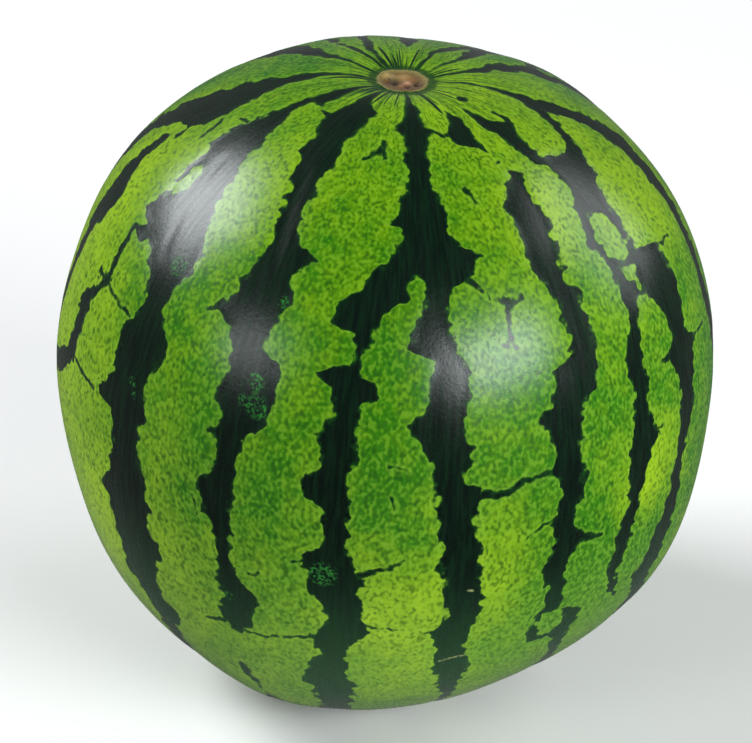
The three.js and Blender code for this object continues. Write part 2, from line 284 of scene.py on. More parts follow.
# Pale scratches in the rind, in the same form as the cracks.
SCRATCHES = [
    ([(116.4, 12.4), (115.7, 14.4), (115.3, 17)], 0.35, 0.25), ([(99, 15), (99.2, 15.9)], 0.5, 0.5),
]

# Yellower places of the light rind, deeper green where the share is below 0; partly the rind's own
# colour, partly painted light and shade: polar and bearing of the middle, spread in degrees, share.
RIPE_AND_LIT_PLACES = (
    (6, 40, 16, 0.6), (38, 31, 12, 0.5), (106, 4, 13, 0.65), (96, 20, 10, 0.5), (40, 76, 18, 0.7),
    (45, -86, 13, 0.8), (32, -40, 13, 0.5), (80, -86, 26, 1), (104, 42, 14, -0.6), (86, 50, 9, 0.9),
    (104, -54, 18, 0.8), (104, 130, 20, 0.8), (98, -150, 18, 0.7), (48, 170, 16, 0.4),
)
RIPENESS = 0.10

# Half-grown light places inside the dark stripes, in the same form.
GHOST_PLACES = (
    (52.7, -48.7, 1.5, 1), (52, -22.6, 1, 0.7), (65.1, -24.1, 1.3, 0.9), (69.2, -23, 1.6, 1),
    (68.6, -26, 0.9, 0.6), (73.5, -49.5, 0.7, 0.8), (75.4, -48.4, 0.6, 0.7), (105.5, -26, 1, 0.6),
    (112.4, -20.4, 1.2, 0.6), (60.4, 4.6, 0.9, 0.6), (96.5, -9.4, 2, 1), (74, -136, 1.6, 0.9),
    (58, 117.5, 1.5, 0.8), (92, 149, 1.3, 0.8),
)

# Creases along the dark stripes.
CREASES = [
    ([(35, -59.4), (46, -56.4), (52.6, -54)], 0.7, 0.5),
    ([(30, -31), (38, -29), (46, -27.5)], 0.5, 0.4), ([(46, 6), (40, 7.5), (33, 7)], 0.4, 0.4),
]


def degrees_apart(bearing, middle):
    """Bearing less the middle's, brought to between -180 and 180 degrees."""
    return (bearing - middle + 180) % 360 - 180


def step(value, low, high):
    """0 below low, 1 above high, and 3t^2 - 2t^3 between them."""
    t = np.clip((value - low) / (high - low), 0, 1)
    return t * t * (3 - 2 * t)


def bell(distance, spread):
    """exp(-(distance / spread)^2)."""
    return np.exp(-((distance / spread) ** 2))


def direction(polar, azimuth):
    """Unit vectors (sin p cos a, sin p sin a, cos p)."""
    across = np.sin(polar)
    x, y = across * np.cos(azimuth), across * np.sin(azimuth)
    return np.stack(np.broadcast_arrays(x, y, np.cos(polar)), -1)


# ---- The rind's shape ----


def growth_swell(outward):
    """Sum of each swell's share, (rise / radius) exp((cos of the angle to it - 1) / spread^2)."""
    share = np.zeros(outward.shape[:-1])
    for polar, azimuth, spread, rise in GROWTH_SWELLS + LESSER_SWELLS:
        middle = direction(math.radians(polar), math.radians(azimuth))
        share += rise / EQUATOR_RADIUS * np.exp((outward @ middle - 1) / math.radians(spread) ** 2)
    return share


def stem_end_relief(reach, azimuth):
    """Dimple, wavy rim and lumps of the scar: a sum of bells of the distance to each."""
    x, y = reach * np.cos(azimuth), reach * np.sin(azimuth)
    wave = np.cos(SCAR_RIM_WAVES * azimuth + SCAR_RIM_TURN)
    rim_wave = 1 - SCAR_RIM_DIP + SCAR_RIM_DIP * wave
    height = -DIMPLE_DEPTH * bell(reach, DIMPLE_SPREAD)
    height = height + SCAR_RIM_RISE * rim_wave * bell(reach - SCAR_RADIUS, SCAR_RIM_WIDTH)
    for lump_x, lump_y, spread, rise in SCAR_LUMPS:
        height = height + rise * bell(np.hypot(x - lump_x, y - lump_y), spread)
    return height


def lean(points):
    """Points turned about +Y by the lean: x' = x cos + z sin, z' = z cos - x sin."""
    angle = math.radians(LEAN_DEGREES)
    x, y, z = points[..., 0], points[..., 1], points[..., 2]
    return np.stack([x * math.cos(angle) + z * math.sin(angle), y,
                     z * math.cos(angle) - x * math.sin(angle)], -1)


def upright_rind(polar, azimuth, relief=0.0):
    """The superellipse r = ((|sin p|/a)^n + (|cos p|/c)^n)^(-1/n), spread, swollen and dimpled."""
    across = np.abs(np.sin(polar)) / EQUATOR_RADIUS
    along = np.abs(np.cos(polar)) / POLE_RADIUS
    radius = (across**SQUARENESS + along**SQUARENESS) ** (-1 / SQUARENESS)
    spread = 1 + STEM_END_SPREAD * np.cos(polar)
    points = direction(polar, azimuth) * radius[..., None]
    points = points * np.stack([spread, spread, np.ones_like(spread)], -1)
    outward = points / np.linalg.norm(points, axis=-1, keepdims=True)
    points = points * (1 + growth_swell(outward))[..., None]
    height = stem_end_relief(EQUATOR_RADIUS * polar, azimuth) + relief
    return points + outward * height[..., None]


def rind_points(polar, azimuth, relief=0.0):
    """The same rind, leaning as it rests."""
    return lean(upright_rind(polar, azimuth, relief))


# ---- Where each ring lies ----

HALVINGS = 40


def table_height(azimuth):
    """Height of the lowest point of the whole fruit, plus the depth of the flat spot."""
    underside = np.linspace(0.85 * math.pi, math.pi, 61)[:, None]
    return rind_points(underside, azimuth)[..., 2].min() + FLAT_SPOT_DEPTH


def polar_at_table(azimuth, height):
    """Polar angle at which each longitude reaches the table, found by halving an interval."""
    above, below = np.full_like(azimuth, math.pi / 2), np.full_like(azimuth, math.pi)
    for _ in range(HALVINGS):
        middle = (above + below) / 2
        higher = rind_points(middle, azimuth)[..., 2] > height
        above, below = np.where(higher, middle, above), np.where(higher, below, middle)
    return below


def blossom_points(share, azimuth, centre, height):
    """A recess (1 - s^2)^2 deep with a button, bell of the reach times (1 - s^2), in its middle."""
    reach = share * BLOSSOM_RADIUS
    recess = BLOSSOM_RECESS * (1 - share**2) ** 2
    button = BUTTON_RISE * bell(reach, BUTTON_SPREAD) * (1 - share**2)
    x, y = centre[0] + reach * np.cos(azimuth), centre[1] + reach * np.sin(azimuth)
    return np.stack(np.broadcast_arrays(x, y, height + recess - button), -1)


# ---- Marks: distances in mm from a place on the rind to their outlines ----

FAR_AWAY = 1e6

# How the back's stripes' sides are drawn, in degrees along a stripe and mm across it.
STRIPE_SEED = 21
SIDE_SPACING = 2.4  # degrees between drawn points
SIDE_WANDER, WANDER_DEGREES = 1.1, 7
SPUR_CHANCE, SPUR_LENGTHS = 0.16, (2, 5)
STRIPE_RAGGEDNESS, ISLAND_RAGGEDNESS = 1.4, 0.8
RAGGED_FROM_WIDTH = 10  # narrower stripes are less ragged


def band_distance(rows, polar, bearing):
    """Distance to a band, negative inside: |bearing - middle| less half the width, as an arc."""
    row_polar, row_left, row_right = np.array(rows, float).T
    left = np.interp(polar, row_polar, row_left)
    right = np.interp(polar, row_polar, row_right)
    arc = MM_PER_DEGREE * np.sin(np.radians(np.clip(polar, 1, 179)))
    side = (np.abs(degrees_apart(bearing, (left + right) / 2)) - (right - left) / 2) * arc
    past_end = np.maximum(row_polar[0] - polar, polar - row_polar[-1]) * MM_PER_DEGREE
    beyond = np.hypot(np.maximum(side, 0), past_end)
    return np.where(past_end > 0, beyond, np.maximum(side, past_end))


def grown_stripe(rows, draw, raggedness):
    """Left and right bearings of a stripe: its middle and width, with both sides drawn ragged."""
    row_polar, row_middle, row_width = np.array(rows, float).T
    row_middle = np.unwrap(row_middle, period=360)
    polar = np.arange(row_polar[0], row_polar[-1], SIDE_SPACING)
    middle = np.interp(polar, row_polar, row_middle)
    width = np.interp(polar, row_polar, row_width)
    arc = MM_PER_DEGREE * np.sin(np.radians(polar))
    rough = raggedness * np.minimum(width / RAGGED_FROM_WIDTH, 1)
    wander = rough * SIDE_WANDER * np.sin(polar / WANDER_DEGREES + draw.uniform(0, 6))
    sides = []
    for outward in (-1, 1):
        jitter = draw.normal(0, 1, polar.size) * rough
        spurs = draw.uniform(0, 1, polar.size) < SPUR_CHANCE
        spurs = spurs * draw.uniform(*SPUR_LENGTHS, polar.size) * rough / STRIPE_RAGGEDNESS
        sides.append(middle + (wander + outward * (width / 2 + jitter + spurs)) / arc)
    return np.stack([polar, np.minimum(*sides), np.maximum(*sides)], -1)


def sphere_points(polar, bearing):
    """Points of a plain sphere of the fruit's size, on which marks are measured."""
    azimuth = np.radians(np.asarray(bearing, float) - 90)
    return direction(np.radians(np.asarray(polar, float)), azimuth) * EQUATOR_RADIUS


def line_offsets(lines, place):
    """To the nearest of the lines: distance from its side, vector from its middle, half width.

    Each line is a chain of straight pieces a-b. The nearest point of a piece is a + t (b - a),
    with t = (p - a).(b - a) / |b - a|^2 kept between 0 and 1.
    """
    nearest = np.full(place.shape[:-1], FAR_AWAY)
    offset, half_width = np.zeros_like(place), np.zeros(place.shape[:-1])
    for bends, first_half, last_half in lines:
        corners = sphere_points(*np.array(bends, float).T)
        pieces = len(corners) - 1
        for piece, (start, end) in enumerate(zip(corners[:-1], corners[1:])):
            along = np.clip((place - start) @ (end - start) / ((end - start) @ (end - start)), 0, 1)
            vector = place - start - along[..., None] * (end - start)
            half = first_half + (last_half - first_half) * (piece + along) / pieces
            distance = np.linalg.norm(vector, axis=-1) - half
            closer = distance < nearest
            nearest = np.where(closer, distance, nearest)
            offset[closer], half_width[closer] = vector[closer], half[closer]
    return nearest, offset, half_width


def stripe_distance(polar, bearing):
    """Distance to the dark stripes in mm, positive in the light rind, from every table above."""
    draw = np.random.default_rng(STRIPE_SEED)
    distance = np.full(polar.shape, FAR_AWAY)
    for rows in STRIPES.values():
        distance = np.minimum(distance, band_distance(rows, polar, bearing))
    for rows in BACK_STRIPES:
        grown = grown_stripe(rows, draw, STRIPE_RAGGEDNESS)
        distance = np.minimum(distance, band_distance(grown, polar, bearing))
    for rows in ISLANDS.values():
        distance = np.maximum(distance, -band_distance(rows, polar, bearing))
    for rows in BACK_ISLANDS:
        grown = grown_stripe(rows, draw, ISLAND_RAGGEDNESS)
        distance = np.maximum(distance, -band_distance(grown, polar, bearing))
    return distance


# ---- Fine relief that the solid leaves out, in mm ----

RELIEF_SEED = 4
UNDULATION_RISE, UNDULATION_WAVES = 0.045, 26
UNDULATION_LENGTHS = (45, 95)
STRIPE_SINK, STRIPE_SLOPE = 0.18, (-1.5, 1.0)
CREASE_SINK, CREASE_SPREAD = 0.15, 1.4
RIB_RISE, RIBS = 0.1, 11
RIB_DRIFT, RIB_DRIFTS = 0.6, 3
STEM_FADE, FOOT_FADE = (6, 22), (150, 162)  # polar angles between which it sets in and ends


def undulation(outward, draw):
    """Sum of sines of outward . k, with a drawn direction and wavelength for each k."""
    height = np.zeros(outward.shape[:-1])
    for _ in range(UNDULATION_WAVES):
        axis = draw.normal(0, 1, 3)
        axis *= 2 * math.pi * EQUATOR_RADIUS / draw.uniform(*UNDULATION_LENGTHS) / np.linalg.norm(axis)
        height += np.sin(outward @ axis + draw.uniform(0, 2 * math.pi))
    return height * UNDULATION_RISE


def skin_relief(polar_degrees, bearing, edge, creases):
    """Undulation, faint ribs cos(11 b + 0.6 sin 3b), sunken stripes and creases, faded at the ends."""
    outward = direction(np.radians(polar_degrees), np.radians(bearing - 90))
    height = undulation(outward, np.random.default_rng(RELIEF_SEED))
    turn = np.radians(bearing)
    height += RIB_RISE * np.cos(turn * RIBS + RIB_DRIFT * np.sin(turn * RIB_DRIFTS))
    height -= STRIPE_SINK * (1 - step(edge, *STRIPE_SLOPE))
    height -= CREASE_SINK * bell(np.maximum(creases, 0), CREASE_SPREAD)
    return height * step(polar_degrees, *STEM_FADE) * (1 - step(polar_degrees, *FOOT_FADE))


# ---- The stem scar's colours, pale on its raised lumps and near black in its pits: x, y, spread, and colour in sRGB ----

SCAR_GROUND = (100, 74, 32)
SCAR_TINTS = (
    (7.2, 1.6, 2.2, (128, 98, 48)), (1.4, -5.6, 2.6, (100, 76, 34)), (-4.5, -4.5, 2.2, (112, 88, 44)),
    (0.7, 4.6, 2.4, (168, 134, 78)), (-4.8, 3.6, 2.6, (186, 158, 94)), (-4.3, 4.4, 0.9, (120, 108, 56)),
    (3.4, 2.6, 1.8, (132, 92, 50)), (1.9, 0.3, 1.6, (214, 164, 122)), (-0.4, -1.7, 1.3, (172, 116, 82)),
    (1.7, -2.4, 1.0, (112, 72, 24)), (-5.6, 0.2, 1.3, (108, 66, 26)), (-3.0, 0.2, 2.3, (20, 4, 0)),
    (1.8, -2.3, 1.4, (60, 26, 6)), (5.2, 0.2, 2.0, (44, 12, 0)),
)
SCAR_RIM_TINT, SCAR_RIM_TINT_WIDTH = (138, 128, 66), 1.0
SCAR_SHADE = 0.75
SCAR_COLOUR_REACH = 40  # mm from the stem end, where its colour stops changing


def linear(colour):
    """Linear values of an sRGB colour given from 0 to 255."""
    share = np.asarray(colour, float) / 255
    return np.where(share <= 0.04045, share / 12.92, ((share + 0.055) / 1.055) ** 2.4)


def scar_colours(reach, azimuth):
    """The ground colour, drawn towards each tint by a bell of the distance to its middle."""
    x, y = reach * np.cos(azimuth), reach * np.sin(azimuth)
    colour = np.broadcast_to(linear(SCAR_GROUND), (*reach.shape, 3))
    for tint_x, tint_y, spread, tint in SCAR_TINTS:
        share = bell(np.hypot(x - tint_x, y - tint_y), spread)[..., None]
        colour = colour + (linear(tint) - colour) * share
    share = bell(reach - SCAR_RADIUS, SCAR_RIM_TINT_WIDTH)[..., None]
    return (colour + (linear(SCAR_RIM_TINT) - colour) * share) * SCAR_SHADE


# ---- The rind as one mesh ----


def ring_places(azimuth, height):
    """Polar angle of each ring's points from the stem end to the table, ring by ring."""
    scar_polar = SCAR_ZONE_RADIUS / EQUATOR_RADIUS
    scar = np.linspace(0, scar_polar, SCAR_RINGS + 1)[1:, None] * np.ones_like(azimuth)
    share = np.linspace(0, 1, RIND_RINGS + 1)[1:-1, None]
    rest = scar_polar + (polar_at_table(azimuth, height) - scar_polar) * share
    return np.concatenate([scar, rest])


def low_rings(azimuth, centre, height):
    """Rings of the flat spot, straight from its edge to the recess, then those of the recess."""
    table_edge = rind_points(polar_at_table(azimuth, height), azimuth)
    table_edge[..., 2] = height
    rim = blossom_points(np.ones(1), azimuth, centre, height)
    flat_share = (np.arange(FLAT_RINGS) / FLAT_RINGS)[:, None, None]
    flat = table_edge + (rim - table_edge) * flat_share
    blossom_share = 1 - np.arange(BLOSSOM_RINGS)[:, None] / BLOSSOM_RINGS
    blossom = blossom_points(blossom_share, azimuth, centre, height)
    return np.concatenate([flat, blossom])


def closed_faces(rings, count):
    """Quads between neighbouring rings and a fan of triangles at each end."""
    around = np.arange(count)
    following = (around + 1) % count
    ring = np.arange(rings - 1)[:, None] * count + 1
    quads = np.stack([ring + around, ring + count + around, ring + count + following,
                      ring + following], -1).reshape(-1, 4)
    last = rings * count + 1
    lowest = (rings - 1) * count + 1
    top = np.stack([np.zeros(count, int), 1 + around, 1 + following], -1)
    bottom = np.stack([np.full(count, last), lowest + following, lowest + around], -1)
    return quads, np.concatenate([top, bottom])


def mesh_from(name, points, quads, triangles):
    """A smooth mesh from whole arrays of points and faces."""
    mesh = bpy.data.meshes.new(name)
    corners = np.concatenate([quads.ravel(), triangles.ravel()]).astype(np.int32)
    sizes = np.concatenate([np.full(len(quads), 4), np.full(len(triangles), 3)])
    starts = np.concatenate([[0], np.cumsum(sizes)[:-1]]).astype(np.int32)
    mesh.vertices.add(len(points))
    mesh.vertices.foreach_set("co", points.astype(np.float32).ravel())
    mesh.loops.add(len(corners))
    mesh.loops.foreach_set("vertex_index", corners)
    mesh.polygons.add(len(sizes))
    mesh.polygons.foreach_set("loop_start", starts)
    mesh.polygons.foreach_set("use_smooth", np.ones(len(sizes), bool))
    mesh.update(calc_edges=True)
    mesh.validate()
    return mesh


def object_from(mesh):
    """An object of the mesh's own name, at the origin."""
    made = bpy.data.objects.new(mesh.name, mesh)
    bpy.context.collection.objects.link(made)
    return made


def make_rind():
    """The whole fruit's surface with its marks stored on it, and the middle of the fruit."""
    azimuth = np.arange(LONGITUDES) * (2 * math.pi / LONGITUDES)
    height = table_height(azimuth)
    polar = ring_places(azimuth, height)
    around = np.broadcast_to(azimuth, polar.shape)
    centre = rind_points(np.array(math.pi), np.array(0.0))

    # The free rind with its relief, then the low rings, closed by a point at each end.
    degrees = np.degrees(polar)
    bearing = degrees_apart(np.degrees(around) + 90, 0)
    edge = stripe_distance(degrees, bearing)
    crease = line_offsets(CREASES, sphere_points(degrees, bearing))[0]
    free = rind_points(polar, around, skin_relief(degrees, bearing, edge, crease))
    low = low_rings(azimuth, centre, height)
    rings = np.concatenate([free, low])
    points = np.concatenate([
        rind_points(np.array([0.0]), np.array([0.0])),
        rings.reshape(-1, 3),
        blossom_points(np.zeros(1), np.zeros(1), centre, height).reshape(1, 3),
    ])
    plain = rind_points(polar, around).reshape(-1, 3)
    box_middle = (plain.min(0) + plain.max(0)) / 2
    points -= (box_middle[0], box_middle[1], height)
    quads, triangles = closed_faces(*rings.shape[:2])
    mesh = mesh_from("watermelon_rind", points * MM, quads, triangles)

    # Polar angle and azimuth of every point of the mesh, for its marks.
    low_polar = math.pi - np.hypot(low[..., 0] - centre[0], low[..., 1] - centre[1]) / EQUATOR_RADIUS
    low_azimuth = np.broadcast_to(azimuth, low_polar.shape)
    all_polar = np.concatenate([[POLE_GAP], polar.ravel(), low_polar.ravel(), [math.pi - POLE_GAP]])
    all_azimuth = np.concatenate([[0], around.ravel(), low_azimuth.ravel(), [0]])
    store_marks(mesh, all_polar, all_azimuth)
    return object_from(mesh), Vector((-box_middle[0] * MM, -box_middle[1] * MM, -height * MM))


# ---- What the mesh keeps for its material ----

# Nearer to the axis than these, in mm, net marks and flecks stretch lengthwise.
NET_STRETCH_RADIUS, FLECK_STRETCH_RADIUS = 12.0, 60.0
STREAK_SHORTENING, FLECK_SHORTENING = 0.12, 0.85  # how much finer they are across than along
FARTHEST, DEEPEST = 30, -5  # limits of the distances kept, outside and inside


def store(mesh, name, values):
    """Keeps one number or one vector for each point of the mesh."""
    kind, field = {1: ("FLOAT", "value"), 2: ("FLOAT_VECTOR", "vector")}[values.ndim]
    attribute = mesh.attributes.new(name, kind, "POINT")
    attribute.data.foreach_set(field, values.astype(np.float32).ravel())


def share_of_places(rows, place):
    """Sum over the rows of their share times a bell of the angle from their middle."""
    total = np.zeros(len(place))
    for polar, bearing, spread, share in rows:
        middle = sphere_points(np.array([polar]), np.array([bearing]))[0]
        cosine = place @ middle / EQUATOR_RADIUS ** 2
        total += share * bell(np.degrees(np.arccos(np.clip(cosine, -1, 1))), spread)
    return total


def growth_frame(azimuth, ring_radius, along):
    """Vectors (r cos a, r sin a, along), in which a pattern keeps its size along and across."""
    return np.stack([ring_radius * np.cos(azimuth), ring_radius * np.sin(azimuth), along], -1)


def store_lines(mesh, name, lines, place):
    """Keeps distances to the nearest of the lines and vectors from it, and gives half widths."""
    near, offset, half_width = line_offsets(lines, place)
    store(mesh, name + "_near", np.clip(near, DEEPEST, FARTHEST))
    store(mesh, name + "_offset", np.clip(offset, -FARTHEST, FARTHEST))
    return half_width


def store_marks(mesh, polar, azimuth):
    """Stores the stripes, cracks, scratches, colour places, growth directions and the scar.

    The patterns' radius is hypot(ring's radius, limit), so they don't pinch at the ends.
    """
    degrees = np.degrees(polar)
    bearing = degrees_apart(np.degrees(azimuth) + 90, 0)
    reach = EQUATOR_RADIUS * polar
    place = sphere_points(degrees, bearing)
    store(mesh, "stripe_edge", np.clip(stripe_distance(degrees, bearing), -FARTHEST, FARTHEST))
    store(mesh, "crack_half_width", store_lines(mesh, "crack", CRACKS + BACK_CRACKS, place))
    store_lines(mesh, "scratch", SCRATCHES, place)
    store(mesh, "ripeness_and_light", RIPENESS + share_of_places(RIPE_AND_LIT_PLACES, place))
    store(mesh, "ghost_share", share_of_places(GHOST_PLACES, place))
    ring_radius = np.hypot(place[:, 0], place[:, 1])
    net_radius = np.hypot(ring_radius, NET_STRETCH_RADIUS)
    fleck_radius = np.hypot(ring_radius, FLECK_STRETCH_RADIUS)
    store(mesh, "growth_place", growth_frame(azimuth, net_radius, place[:, 2]))
    store(mesh, "fleck_place", growth_frame(azimuth, fleck_radius, reach * FLECK_SHORTENING))
    store(mesh, "streak_place", growth_frame(azimuth, EQUATOR_RADIUS, reach * STREAK_SHORTENING))
    store(mesh, "stem_reach", reach)
    store(mesh, "scar_colour", scar_colours(np.minimum(reach, SCAR_COLOUR_REACH), azimuth))


# ---- Shader expressions ----


class Wire:
    """A socket of a material's nodes. Arithmetic on wires adds Math nodes to the material."""

    def __init__(self, tree, socket=None):
        self.tree, self.socket = tree, socket

    def add(self, kind, settings=None, inputs=None, output=0):
        """A new node: settings first, then values or wires into its sockets, by name or number."""
        node = self.tree.nodes.new(kind)
        for name, value in (settings or {}).items():
            setattr(node, name, value)
        for key, value in (inputs or {}).items():
            if isinstance(value, Wire):
                self.tree.links.new(value.socket, node.inputs[key])
            else:
                node.inputs[key].default_value = value
        return Wire(self.tree, node.outputs[output])

    def math(self, operation, *values):
        return self.add("ShaderNodeMath", {"operation": operation}, dict(enumerate(values)))

    def __add__(self, other):
        return self.math("ADD", self, other)

    def __sub__(self, other):
        return self.math("SUBTRACT", self, other)

    def __rsub__(self, other):
        return self.math("SUBTRACT", other, self)

    def __mul__(self, other):
        return self.math("MULTIPLY", self, other)

    __radd__, __rmul__ = __add__, __mul__

    def least(self, other):
        return self.math("MINIMUM", self, other)

    def most(self, other):
        return self.math("MAXIMUM", self, other)

    def step(self, low, high):
        """0 below low, 1 above high, smooth between them."""
        return self.add("ShaderNodeMapRange", {"interpolation_type": "SMOOTHSTEP"},
                        {"Value": self, "From Min": low, "From Max": high})

    def moved(self, other):
        """Sum of two vectors."""
        return self.add("ShaderNodeVectorMath", {"operation": "ADD"}, {0: self, 1: other})

    def scaled(self, factor):
        """Vector times a number."""
        return self.add("ShaderNodeVectorMath", {"operation": "SCALE"}, {0: self, "Scale": factor})

    def length(self):
        """Length of a vector."""
        return self.add("ShaderNodeVectorMath", {"operation": "LENGTH"}, {0: self}, "Value")

    def stored(self, name, output="Fac"):
        """What the mesh keeps under that name."""
        return self.add("ShaderNodeAttribute", {"attribute_name": name}, output=output)

    def noise(self, size, detail=2.0, roughness=0.5, output="Fac"):
        """Soft noise over this place, with features of about that size in mm."""
        return self.add("ShaderNodeTexNoise", {}, {"Vector": self, "Scale": 1 / size,
                        "Detail": detail, "Roughness": roughness}, output)

    def sway(self, size, reach, detail=1.0, roughness=0.5):
        """Soft noise less a half, times the reach."""
        return (self.noise(size, detail, roughness) - 0.5) * reach

    def drift(self, size, reach, detail=1.0):
        """A vector of up to about `reach` mm, by noise of that size over this place."""
        return self.noise(size, detail, output="Color").moved((-0.5, -0.5, -0.5)).scaled(reach * 2)

    def wobble(self, size, reach):
        """This place, moved by its drift."""
        return self.moved(self.drift(size, reach))

    def buds(self, size, depth):
        """(0.5 - distance to the middle of this place's cell, as a share of the size) x depth."""
        cell = self.add("ShaderNodeTexVoronoi", {"feature": "F1"},
                        {"Vector": self, "Scale": 1 / size}, "Distance")
        return (0.5 - cell) * depth

    def blend(self, share, first, second):
        """The first colour, drawn towards the second by the share."""
        return self.add("ShaderNodeMix", {"data_type": "RGBA"}, {0: share, 6: first, 7: second}, 2)

    def tinted(self, colour, share, most=1.0):
        """This colour, drawn towards another by the share times the most."""
        return self.blend(share * most, self, colour)


def paint(red, green, blue):
    """A colour socket's value from sRGB given as 0 to 255."""
    return (*linear((red, green, blue)), 1.0)


def new_material(name):
    """An empty material, a wire to start from and its surface shader."""
    material = bpy.data.materials.new(name)
    material.use_nodes = True
    shader = material.node_tree.nodes["Principled BSDF"]
    return material, Wire(material.node_tree), shader


def feed(shader, name, wire):
    """Links a wire to one of the shader's sockets."""
    wire.tree.links.new(wire.socket, shader.inputs[name])


# ---- Rind material: sizes, reaches and depths are in mm ----

LIGHT_GREEN = paint(131, 166, 4)
DEEP_GREEN = paint(46, 107, 1)
FLECK_GREEN = paint(20, 70, 2)
PALE_EDGE = paint(122, 166, 40)
STRIPE_GREEN = paint(3, 30, 12)
STRIPE_BLACK = paint(0, 14, 7)
FRINGE_GREEN = paint(14, 62, 14)
# Paler green towards the bottom: partly a paler underside, partly painted sheen and bounce light from the
# floor.
LOW_GREEN_AND_PAINTED_SHEEN = paint(172, 206, 96)
# Paler, greener dark stripes towards the bottom: partly a greener underside, partly painted sheen from
# the floor.
LOW_STRIPE_AND_PAINTED_SHEEN = paint(56, 106, 64)
RING_GREEN = paint(14, 50, 10)
GHOST_GREEN = paint(40, 124, 42)
SCRATCH_TAN = paint(120, 130, 84)
THREAD_BROWN = paint(36, 20, 6)

CALMEST = 0.2  # share of the raggedness left at the stem end
SPOKE_LEVEL, SPOKE_LOSS, SPOKE_SLOPE, SPOKE_END = 0.49, 0.3, 0.6, 9
CRACK_MARGIN, SCRATCH_MARGIN = 2.5, 1.5  # how far past its own side a line may wander
FLECK_SHARE, FLECK_LOSS = 0.74, 0.26
RING_WIDTH, RING_SWING = 1.4, 4.0
GLOSS, WAX_DULL, FLECK_DULL, FIBRE_DULL, SCAR_DULL = 0.22, 0.1, 0.05, 0.16, 0.35
WAX_RISE, THREAD_RISE = 0.05, 0.35


def ragged_distance(start, growth, streak, place, reach):
    """Distance to the nearest dark place, positive in the light.

    That is a stripe with lobes and buds, a spoke of the stem end or a wandering crack.
    """
    edge = start.stored("stripe_edge")
    freedom = reach.step(12, 80) * (1 - CALMEST) + CALMEST
    lobes = growth.wobble(size=9, reach=1.0).buds(size=4.8, depth=4.6)
    swings = growth.sway(size=8, reach=3.0, detail=0.0)
    buds = growth.wobble(size=3, reach=0.6).buds(size=2.3, depth=1.7)
    grain = place.sway(size=1.3, reach=0.4)
    ragged = edge + (lobes + buds + grain + swings) * freedom * edge.step(-2.8, -0.8)

    spokes = streak.noise(size=8, detail=1.0) - SPOKE_LEVEL + reach.step(6, 44) * SPOKE_LOSS
    spokes = spokes * reach * SPOKE_SLOPE + reach.step(24, 48) * SPOKE_END
    crack = start.stored("crack_offset", "Vector")
    crack = crack.moved(growth.drift(size=5, reach=1.6, detail=2.0)).length()
    crack = crack - start.stored("crack_half_width") + buds * 0.5 + grain * 0.4
    crack = crack.most(start.stored("crack_near") - CRACK_MARGIN)
    return ragged.least(spokes).least(crack)


def light_rind(start, growth, streak, reach, ragged):
    """Green, yellower in places, which is partly painted light and shade, and paler towards the bottom,
    which is partly painted sheen and bounce light, with paler spots and rims and dark flecks, and those
    flecks.
    """
    # Yellower and deeper places: partly the rind's own colour, partly painted light and shade.
    ripe_and_lit = start.stored("ripeness_and_light") + growth.sway(size=22, reach=0.9, detail=2.0)
    mottle = growth.sway(size=6, reach=0.8, detail=2.0, roughness=0.6)
    green = start.blend(ripe_and_lit + mottle, DEEP_GREEN, LIGHT_GREEN)
    # Painted sheen and bounce light: the light rind is drawn paler towards the bottom.
    low = reach.step(185, 262)
    green = green.tinted(LOW_GREEN_AND_PAINTED_SHEEN, low, most=0.2)
    rays = 1 - streak.noise(size=5, detail=1.0).step(0.34, 0.56)
    green = green.tinted(FLECK_GREEN, rays * (1 - reach.step(14, 60)), most=0.8)
    spot = start.stored("fleck_place", "Vector").wobble(size=3, reach=0.5).noise(size=1.5, detail=0.0)
    green = green.tinted(PALE_EDGE, spot.step(0.5, 0.72), most=0.3)
    patches = growth.noise(size=4, detail=1.0).step(0.3, 0.65)
    flecks = (1 - spot.step(0.25, 0.55)) * (patches * 0.5 + 0.5)
    green = green.tinted(FLECK_GREEN, flecks * (FLECK_SHARE - low * FLECK_LOSS))
    rim = ragged.step(-0.2, 0.4) - ragged.step(0.4, 1.8)
    return green.tinted(PALE_EDGE, rim, most=0.22), flecks


def dark_stripe(start, growth, streak, reach, ragged):
    """Near black with lengthwise streaks, greener towards the outline and in ghost places, and paler and
    greener towards the bottom, which is partly painted sheen from the floor.
    """
    streaks = streak.noise(size=1.6, detail=3.0, roughness=0.6).step(0.35, 0.7)
    dark = start.blend(streaks, STRIPE_BLACK, STRIPE_GREEN)
    fringe = (ragged + growth.sway(size=1.8, reach=2.4)).step(-1.6, 0.1)
    dark = dark.tinted(FRINGE_GREEN, fringe, most=0.6)
    # Painted sheen: the dark stripes are drawn paler and greener towards the bottom.
    dark = dark.tinted(LOW_STRIPE_AND_PAINTED_SHEEN, reach.step(190, 266), most=0.32)
    share = start.stored("ghost_share")
    ghost = share.step(0.12, 0.5) * (1 - share.step(0.7, 1.1) * 0.5)
    specks = growth.noise(size=1.0, detail=1.0).step(0.42, 0.68)
    return dark.tinted(GHOST_GREEN, ghost * specks, most=0.7)


